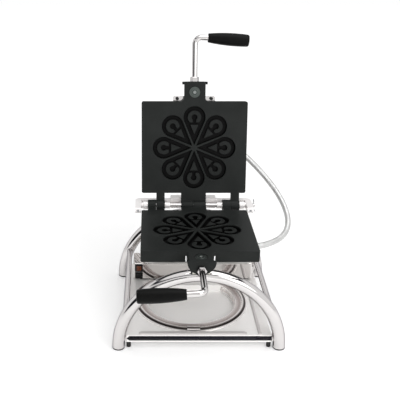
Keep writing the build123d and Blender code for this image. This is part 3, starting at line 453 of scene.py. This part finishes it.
# Control box
# The polished housing stands on rubber pads. A black rocker switch and an amber
# pilot lamp are snapped into its face, and the mains lead enters through its back.


def moulded_abs():
    """Glossy black ABS, moulded."""
    sink_marks = 0.006
    material, tree, shader = start_material("black_abs", "#0b0b0c", 0.0, 0.22)
    shader.inputs["Specular IOR Level"].default_value = 0.25
    marks = object_noise(tree, sink_marks)
    vary(tree, shader, "Roughness", marks, 0.18, 0.30)
    finish_surface(tree, shader, marks, depth=0.00005, strength=0.5, edge=0.0004)
    return material


def amber_lens():
    """Dark amber polycarbonate: it lets some light in and shines outside."""
    prism_pitch = 0.0014
    material, tree, shader = start_material("amber_polycarbonate", "#5a2a12", 0.0, 0.12)
    shader.inputs["Coat Weight"].default_value = 0.3
    prisms = object_noise(tree, prism_pitch, 0.0)
    vary_colour(tree, shader, prisms, "#33160a", "#7a3a18")
    finish_surface(tree, shader, prisms, depth=0.0002, strength=0.6, edge=0.0003)
    return material


def brushed_sheet():
    """Stainless sheet as rolled: satin, with grain along the sheet."""
    # Rolled grain is about 0.1 mm wide. It is drawn five times as coarse, to show.
    grain_width = 0.0005
    material, tree, shader = start_material("satin_stainless", "#b4b3b0", 1.0, 0.38)
    grain = object_noise(tree, grain_width, 3.0, stretch=(50, 1, 1))
    vary(tree, shader, "Roughness", grain, 0.30, 0.46)
    finish_surface(tree, shader, grain, depth=0.00004, strength=0.6, edge=0.0006)
    return material


def glazed_ceramic():
    """White glazed ceramic of terminal blocks."""
    glaze_pits = 0.003
    material, tree, shader = start_material("glazed_ceramic", "#e4e1d8", 0.0, 0.25)
    pits = object_noise(tree, glaze_pits)
    vary_colour(tree, shader, pits, "#dcd8cd", "#ebe8df")
    finish_surface(tree, shader, pits, depth=0.0001, strength=0.4, edge=0.0005)
    return material


def mirror_sheet():
    """Stainless sheet polished to a mirror, a little wavy where it was folded."""
    fold_wave = 0.050
    material, tree, shader = start_material("mirror_stainless", "#dedbd9", 1.0, 0.05)
    wave = object_noise(tree, fold_wave, 0.0)
    vary(tree, shader, "Roughness", wave, 0.04, 0.08)
    finish_surface(tree, shader, wave, depth=0.0008, strength=0.3, edge=0.0008)
    return material


black_plastic = moulded_abs()
dress(mirror_sheet(), "polished_stainless", "control_housing")
satin = brushed_sheet()
ceramic = glazed_ceramic()
dress(black_plastic, "switch_black", "switch_body", "switch_rocker", "lamp_body", "mains_gland")
dress(amber_lens(), "lamp_amber", "lamp_lens")
dress(satin, "satin_stainless", "box_base")
dress(ceramic, "ceramic", "box_terminal_strip")

# Saddle and rear bearing
# The necks turn in a pale low-friction saddle on the front arch. The rear shaft
# turns in a bronze bush, in a block welded to the rear arch.


def acetal():
    """Natural acetal: ivory, waxy, machined."""
    # The tool's marks are about 0.2 mm apart. They are drawn four times as coarse, to show.
    tool_marks = 0.0008
    material, tree, shader = start_material("machined_acetal", "#d8d5cb", 0.0, 0.42)
    marks = object_noise(tree, tool_marks, 1.0, stretch=(1, 40, 1))
    vary_colour(tree, shader, marks, "#d0cdc2", "#dfdcd3")
    finish_surface(tree, shader, marks, depth=0.00005, strength=0.6, edge=0.0005)
    return material


def turned_bronze():
    """Sintered bronze: brown gold, oily and softly shining."""
    # Pores are about 0.1 mm. They are drawn ten times as coarse, to show.
    pores = 0.0010
    material, tree, shader = start_material("turned_bronze", "#a8783f", 1.0, 0.33)
    spots = object_noise(tree, pores, 3.0)
    vary_colour(tree, shader, spots, "#8e6230", "#b98a4e")
    finish_surface(tree, shader, spots, depth=0.00005, strength=0.6, edge=0.0004)
    return material


def zinc_steel():
    """Zinc-plated steel: bright, a little blue and cloudy."""
    clouds = 0.004
    material, tree, shader = start_material("zinc_plated_steel", "#c3c4c6", 1.0, 0.24)
    patches = object_noise(tree, clouds, 3.0)
    vary(tree, shader, "Roughness", patches, 0.18, 0.32)
    vary_colour(tree, shader, patches, "#b6b8bb", "#cfd0d0")
    finish_surface(tree, shader, patches, depth=0.00003, strength=0.5, edge=0.0004)
    return material


zinc = zinc_steel()
dress(acetal(), "saddle_polymer", "front_saddle")
dress(chrome, "chrome", "rear_bearing")
dress(turned_bronze(), "bronze", "rear_bush")

# Hub, shaft, yoke and hinge pin
# The yoke is bent from square bar, with the hub welded into its back. Both and the
# pin's collars are chrome-plated over a blasted face, and the pin over a polished one.
# The shaft, its set screws and the split pin are zinc-plated.


def dull_chrome():
    """Chrome plate over bead-blasted bar: it stays pale where a mirror would go dark."""
    # Blasting leaves dimples of about 0.3 mm. They are drawn four times as coarse, to show.
    blasting = 0.0012
    material, tree, shader = start_material("dull_chrome", "#f4f1f0", 0.45, 0.30)
    dimples = object_noise(tree, blasting, 2.0)
    vary(tree, shader, "Roughness", dimples, 0.24, 0.36)
    finish_surface(tree, shader, dimples, depth=0.00004, strength=0.5, edge=0.0010)
    return material


dress(dull_chrome(), "chrome", "hinge_yoke", "rear_hub", "pin_collars")
dress(chrome, "chrome", "shaft_collar", "hinge_pin")
dress(zinc, "steel_screw", "rear_shaft", "yoke_set_screws", "split_pin")

# Castings
# Cast aluminium, sand-blasted and coated with dark non-stick, so every edge is a
# little soft and the face has a fine even tooth. The pockets are painted near black, as painted shade.
flower_radius = 0.0945
island_depth = 0.0014
pocket_depth = 0.0105
lid_lean = radians(joints["lid_hinge"]["range_deg"][1] - 90)


def on_lid(ahead_of_hinge):
    """A point on the open lid's parting face, this far from the hinge pin."""
    return (0, hinge_y + ahead_of_hinge * sin(lid_lean), axis_height + ahead_of_hinge * cos(lid_lean))


def coated_casting(name, flower, inward):
    """Non-stick coating over cast aluminium: anthracite, satin, finely toothed, with painted shade in its
    pockets.
    """
    # The coating's tooth is about 0.3 mm. It is drawn three times as coarse, to show.
    tooth = 0.0009
    cloud = 0.045
    material, tree, shader = start_material(name, "#202221", 0.0, 0.48)
    shader.inputs["Specular IOR Level"].default_value = 0.12
    clouds = object_noise(tree, cloud, 4.0)
    vary_colour(tree, shader, clouds, "#1d1f1e", "#242625")
    open_face = shader.inputs["Base Color"].links[0].from_socket
    vary(tree, shader, "Roughness", clouds, 0.43, 0.55)
    place = add_node(tree, "ShaderNodeTexCoord").outputs["Object"]
    away = add_node(tree, "ShaderNodeVectorMath", {1: flower}, {0: place}, operation="SUBTRACT")
    deep = add_node(
        tree, "ShaderNodeVectorMath", {1: inward}, {0: away.outputs["Vector"]}, operation="DOT_PRODUCT",
    )
    below_islands = add_node(
        tree, "ShaderNodeMapRange", {"From Min": island_depth, "From Max": 2 * island_depth},
        {"Value": deep.outputs["Value"]},
    )
    above_back = add_node(
        tree, "ShaderNodeMath", {1: pocket_depth}, {0: deep.outputs["Value"]}, operation="LESS_THAN",
    )
    wide = add_node(tree, "ShaderNodeVectorMath", links={0: away.outputs["Vector"]}, operation="LENGTH")
    in_flower = add_node(
        tree, "ShaderNodeMath", {1: flower_radius}, {0: wide.outputs["Value"]}, operation="LESS_THAN",
    )
    both = add_node(
        tree, "ShaderNodeMath", links={0: above_back.outputs["Value"], 1: in_flower.outputs["Value"]},
        operation="MULTIPLY",
    )
    # Below the islands and inside the flower, the coating is painted near black: painted shade in the
    # pockets.
    painted_pocket_shade = add_node(
        tree, "ShaderNodeMath", links={0: both.outputs["Value"], 1: below_islands.outputs["Result"]},
        operation="MULTIPLY",
    )
    # A colour mix has its two colours at inputs 6 and 7 and its result at output 2.
    colour = add_node(
        tree, "ShaderNodeMix", links={0: painted_pocket_shade.outputs["Value"], 6: open_face}, data_type="RGBA",
    )
    colour.inputs[7].default_value = linear("#040404")
    tree.links.new(colour.outputs[2], shader.inputs["Base Color"])
    grain = object_noise(tree, tooth, 3.0)
    finish_surface(tree, shader, grain, depth=0.00006, strength=0.7, edge=0.0011)
    return material


def paint_fillet_highlight(material, place, half_size):
    """Paint white inside a box on each side: a painted highlight in the neck's fillet."""
    tree = material.node_tree
    shader = tree.nodes["Principled BSDF"]
    spot = add_node(tree, "ShaderNodeTexCoord").outputs["Object"]
    parts = add_node(tree, "ShaderNodeSeparateXYZ", links={"Vector": spot})
    aside = add_node(tree, "ShaderNodeMath", links={0: parts.outputs["X"]}, operation="ABSOLUTE")
    inside = None
    sources = (aside.outputs["Value"], parts.outputs["Y"], parts.outputs["Z"])
    for source, middle, half in zip(sources, place, half_size):
        near = add_node(tree, "ShaderNodeMath", {1: middle, 2: half}, {0: source}, operation="COMPARE")
        if inside:
            both = {0: inside, 1: near.outputs["Value"]}
            near = add_node(tree, "ShaderNodeMath", links=both, operation="MULTIPLY")
        inside = near.outputs["Value"]
    coated = shader.inputs["Base Color"].links[0].from_socket
    # The white is a painted highlight.
    colour = add_node(tree, "ShaderNodeMix", links={0: inside, 6: coated}, data_type="RGBA")
    colour.inputs[7].default_value = linear("#ffffff")
    tree.links.new(colour.outputs[2], shader.inputs["Base Color"])


neck_fillet = (0.0281, plates_y - 0.1060, axis_height - 0.0158)
fillet_highlight_half_size = (0.0013, 0.0040, 0.0062)
lower_flower = (0, plates_y, axis_height)
upper_flower = on_lid(plates_ahead_of_hinge)
lower_coating = coated_casting("non_stick_lower", lower_flower, (0, 0, -1))
upper_coating = coated_casting("non_stick_upper", upper_flower, (0, cos(lid_lean), -sin(lid_lean)))
# A painted highlight in the lower neck's fillet on each side.
paint_fillet_highlight(lower_coating, neck_fillet, fillet_highlight_half_size)
dress(lower_coating, "plate_coating", "lower_plate")
dress(upper_coating, "plate_coating", "upper_plate")

# Handles
# A chrome rod screws into each neck behind a hexagon nut, bends over and carries a
# turned black grip. A socket screw over a washer locks it from the parting face.


def phenolic():
    """Black phenolic: moulded, satin, with a faint swirl of filler."""
    swirl = 0.009
    material, tree, shader = start_material("moulded_phenolic", "#080807", 0.0, 0.44)
    shader.inputs["Specular IOR Level"].default_value = 0.10
    filler = object_noise(tree, swirl, 4.0)
    vary_colour(tree, shader, filler, "#060606", "#0b0b0a")
    vary(tree, shader, "Roughness", filler, 0.38, 0.50)
    finish_surface(tree, shader, filler, depth=0.0001, strength=0.5, edge=0.0006)
    return material


def turned_washer(name, centre, socket_reach, socket_highlight):
    """Blackened steel, turned: rings of painted reflection round a painted highlight in the socket of its
    screw.
    """
    washer_radius = 0.012
    material, tree, shader = start_material(name, "#3b3d3c", 1.0, 0.38)
    place = add_node(tree, "ShaderNodeTexCoord").outputs["Object"]
    out = add_node(tree, "ShaderNodeVectorMath", {1: centre}, {0: place}, operation="DISTANCE")
    share = add_node(
        tree, "ShaderNodeMapRange", {"From Max": washer_radius}, {"Value": out.outputs["Value"]},
    )
    rings = add_node(tree, "ShaderNodeValToRGB", links={"Fac": share.outputs["Result"]})
    stops = rings.color_ramp.elements
    stops[0].color = linear(socket_highlight)
    stops[1].color = linear("#585e5b")
    # The near-white socket and the pale ring at a quarter of the radius are painted highlights; the grey
    # rings are painted reflections.
    for at, tone in (
            (socket_reach, socket_highlight), (socket_reach + 0.05, "#4a4f4d"), (0.24, "#b4bab7"),
            (0.30, "#454a48"), (0.48, "#525855"), (0.60, "#6c726f"), (0.72, "#545a57"), (0.90, "#5e6461")):
        stops.new(at).color = linear(tone)
    tree.links.new(rings.outputs["Color"], shader.inputs["Base Color"])
    finish_surface(tree, shader, out.outputs["Value"], depth=0.0001, strength=0.3, edge=0.0003)
    return material


grip_black = phenolic()
for half in ("lower", "upper"):
    dress(chrome, "chrome", half + "_handle_rod", half + "_handle_nut")
    dress(grip_black, "black_grip", half + "_grip")
lock_screw_ahead = 0.123
lower_socket_reach = 0.15
upper_socket_reach = 0.10
# The near-white tones given here are painted highlights in the screws' sockets.
lower_washer = turned_washer(
    "turned_washer_lower", (0, plates_y - lock_screw_ahead, axis_height), lower_socket_reach, "#f6f6f4",
)
upper_washer = turned_washer(
    "turned_washer_upper", on_lid(plates_ahead_of_hinge + lock_screw_ahead), upper_socket_reach,
    "#f0f2f1",
)
dress(lower_washer, "steel_screw", "lower_lock_screw")
dress(upper_washer, "steel_screw", "upper_lock_screw")

# Heaters and their covers
# Each casting has a tubular element, a thermostat and a mica sheet under a satin
# cover held by four screws. A folded box on it takes the wires and the conduit. A
# chrome strap with two buffers lies across the lid's neck.


def mica_board():
    """Pressed mica: silvery brown flakes."""
    flake = 0.003
    material, tree, shader = start_material("mica_board", "#a89a78", 0.0, 0.5)
    flakes = object_noise(tree, flake, 2.0)
    vary_colour(tree, shader, flakes, "#94866a", "#c0b493")
    finish_surface(tree, shader, flakes, depth=0.0001, strength=0.5)
    return material


def heated_steel():
    """Steel sheath that heat has turned dark."""
    bloom = 0.010
    material, tree, shader = start_material("heated_steel", "#4b4742", 1.0, 0.45)
    patches = object_noise(tree, bloom, 3.0)
    vary_colour(tree, shader, patches, "#3d3a37", "#5d5349")
    finish_surface(tree, shader, patches, depth=0.00005, strength=0.5)
    return material


mica = mica_board()
sheath = heated_steel()
for half in ("lower", "upper"):
    dress(chrome, "chrome", half + "_conduit_gland")
    dress(zinc, "steel_screw", half + "_cover_screws", half + "_thermostat")
    dress(satin, "satin_stainless", half + "_heater_cover", half + "_terminal_box")
    dress(mica, "mica", half + "_insulation_sheet")
    dress(ceramic, "ceramic", half + "_terminal_block")
    dress(sheath, "element_sheath", half + "_heating_element")
dress(chrome, "chrome", "cover_strap")

# Studio
# A white floor in a white surround, with a thin dark band high up and a dark card at
# the front left for the chrome to show. One wide soft lamp is above, a weaker one is
# in front and a low one fills the shade. The floor keeps the shadow.
floor_half = 6.0
floor_white = "#f4f4f4"
floor_glow = 0.19
far_glow = 0.45
near_floor = 0.5
far_floor = 2.0
mirrored_glow = 0.10
card_dark = "#222226"
card_azimuth = radians(-52)
card_half_angle = radians(32)
card_flatness = 1.5
card_rise = 0.25
card_sharpness = 0.7
surround = bpy.data.worlds.new("surround")
surround.use_nodes = True
bpy.context.scene.world = surround
sky = surround.node_tree
background = sky.nodes["Background"]
background.inputs["Strength"].default_value = 1.0


def seen_rays(tree):
    """The light path, and a value that is one where the camera looks, also through glass."""
    path = add_node(tree, "ShaderNodeLightPath")
    both = {0: path.outputs["Is Camera Ray"], 1: path.outputs["Is Transmission Ray"]}
    return path, add_node(tree, "ShaderNodeMath", links=both, operation="MAXIMUM").outputs["Value"]


path, seen = seen_rays(sky)
direction = add_node(sky, "ShaderNodeTexCoord").outputs["Generated"]
parts = add_node(sky, "ShaderNodeSeparateXYZ", links={"Vector": direction})
height = add_node(
    sky, "ShaderNodeMapRange", {"From Min": -1.0, "From Max": 1.0}, {"Value": parts.outputs["Z"]},
)
mirror_sky = add_node(sky, "ShaderNodeValToRGB", links={"Fac": height.outputs["Result"]})
stops = mirror_sky.color_ramp.elements
stops[0].color = linear("#f2f2f2")
stops[1].color = linear("#ffffff")
for at, tone in ((0.80, "#f2f2f2"), (0.84, "#2c2c32"), (0.87, "#3a3a40"), (0.91, "#f4f4f4")):
    stops.new(at).color = linear(tone)
fill_sky = add_node(sky, "ShaderNodeValToRGB", links={"Fac": height.outputs["Result"]})
stops = fill_sky.color_ramp.elements
stops[0].color = linear("#ffffff")
stops[1].color = linear("#bcbcbc")
for at, tone in ((0.50, "#ffffff"), (0.70, "#f6f6f6"), (0.85, "#cacaca")):
    stops.new(at).color = linear(tone)
flattened = add_node(
    sky, "ShaderNodeVectorMath", {1: (1, 1, card_flatness)}, {0: direction}, operation="MULTIPLY",
)
way = add_node(sky, "ShaderNodeVectorMath", links={0: flattened.outputs["Vector"]}, operation="NORMALIZE")
to_card = Vector((sin(card_azimuth), -cos(card_azimuth), card_rise)).normalized()
along = add_node(
    sky, "ShaderNodeVectorMath", {1: to_card}, {0: way.outputs["Vector"]}, operation="DOT_PRODUCT",
)
in_card = add_node(
    sky, "ShaderNodeMapRange",
    {"From Min": cos(card_half_angle), "From Max": cos(card_half_angle * card_sharpness)},
    {"Value": along.outputs["Value"]},
)
mirrored_room = add_node(
    sky, "ShaderNodeMix", links={0: in_card.outputs["Result"], 6: mirror_sky.outputs["Color"]},
    data_type="RGBA",
)
mirrored_room.inputs[7].default_value = linear(card_dark)
fill = add_node(
    sky, "ShaderNodeMix",
    links={0: path.outputs["Is Glossy Ray"], 6: fill_sky.outputs["Color"], 7: mirrored_room.outputs[2]},
    data_type="RGBA",
)
shown = add_node(sky, "ShaderNodeMix", links={0: seen, 6: fill.outputs[2]}, data_type="RGBA")
shown.inputs[7].default_value = (1, 1, 1, 1)
sky.links.new(shown.outputs[2], background.inputs["Color"])

floor_mesh = bpy.data.meshes.new("studio_floor")
corners = [(x * floor_half, y * floor_half, 0) for x, y in ((-1, -1), (1, -1), (1, 1), (-1, 1))]
floor_mesh.from_pydata(corners, [], [(0, 1, 2, 3)])
studio_floor = bpy.data.objects.new("studio_floor", floor_mesh)
bpy.context.scene.collection.objects.link(studio_floor)
floor_paint, floor_tree, floor_shader = start_material("studio_floor", floor_white, 0.0, 0.9)
floor_path, floor_seen = seen_rays(floor_tree)
mirrored = add_node(
    floor_tree, "ShaderNodeMath", {1: mirrored_glow}, {0: floor_path.outputs["Is Glossy Ray"]},
    operation="MULTIPLY",
)
floor_place = add_node(floor_tree, "ShaderNodeTexCoord").outputs["Object"]
floor_out = add_node(floor_tree, "ShaderNodeVectorMath", links={0: floor_place}, operation="LENGTH")
spread = add_node(
    floor_tree, "ShaderNodeMapRange",
    {"From Min": near_floor, "From Max": far_floor, "To Min": floor_glow, "To Max": far_glow},
    {"Value": floor_out.outputs["Value"]},
)
glow = add_node(
    floor_tree, "ShaderNodeMath",
    links={0: floor_seen, 1: spread.outputs["Result"], 2: mirrored.outputs["Value"]},
    operation="MULTIPLY_ADD",
)
floor_shader.inputs["Emission Color"].default_value = (1, 1, 1, 1)
floor_tree.links.new(glow.outputs["Value"], floor_shader.inputs["Emission Strength"])
floor_mesh.materials.append(floor_paint)


def soft_lamp(name, place, target, size, power, mirrored=True):
    """A rectangular area lamp aimed at a point, shown or not in the chrome."""
    lamp = bpy.data.lights.new(name, "AREA")
    lamp.shape = "RECTANGLE"
    lamp.size, lamp.size_y = size
    lamp.energy = power
    stand = bpy.data.objects.new(name, lamp)
    stand.location = place
    stand.visible_glossy = mirrored
    stand.rotation_euler = (Vector(target) - Vector(place)).to_track_quat("-Z", "Y").to_euler()
    bpy.context.scene.collection.objects.link(stand)


soft_lamp("top_softbox", (0.5, -0.2, 1.9), (0, 0, 0.2), (1.6, 1.6), 14)
soft_lamp("front_softbox", (1.2, -1.4, 1.1), (0, 0, 0.2), (1.0, 1.0), 8)
soft_lamp("low_softbox", (-0.1, -1.8, 0.75), (0, 0, 0.05), (1.6, 0.6), 9, mirrored=False)

bpy.context.scene.view_settings.view_transform = "Standard"
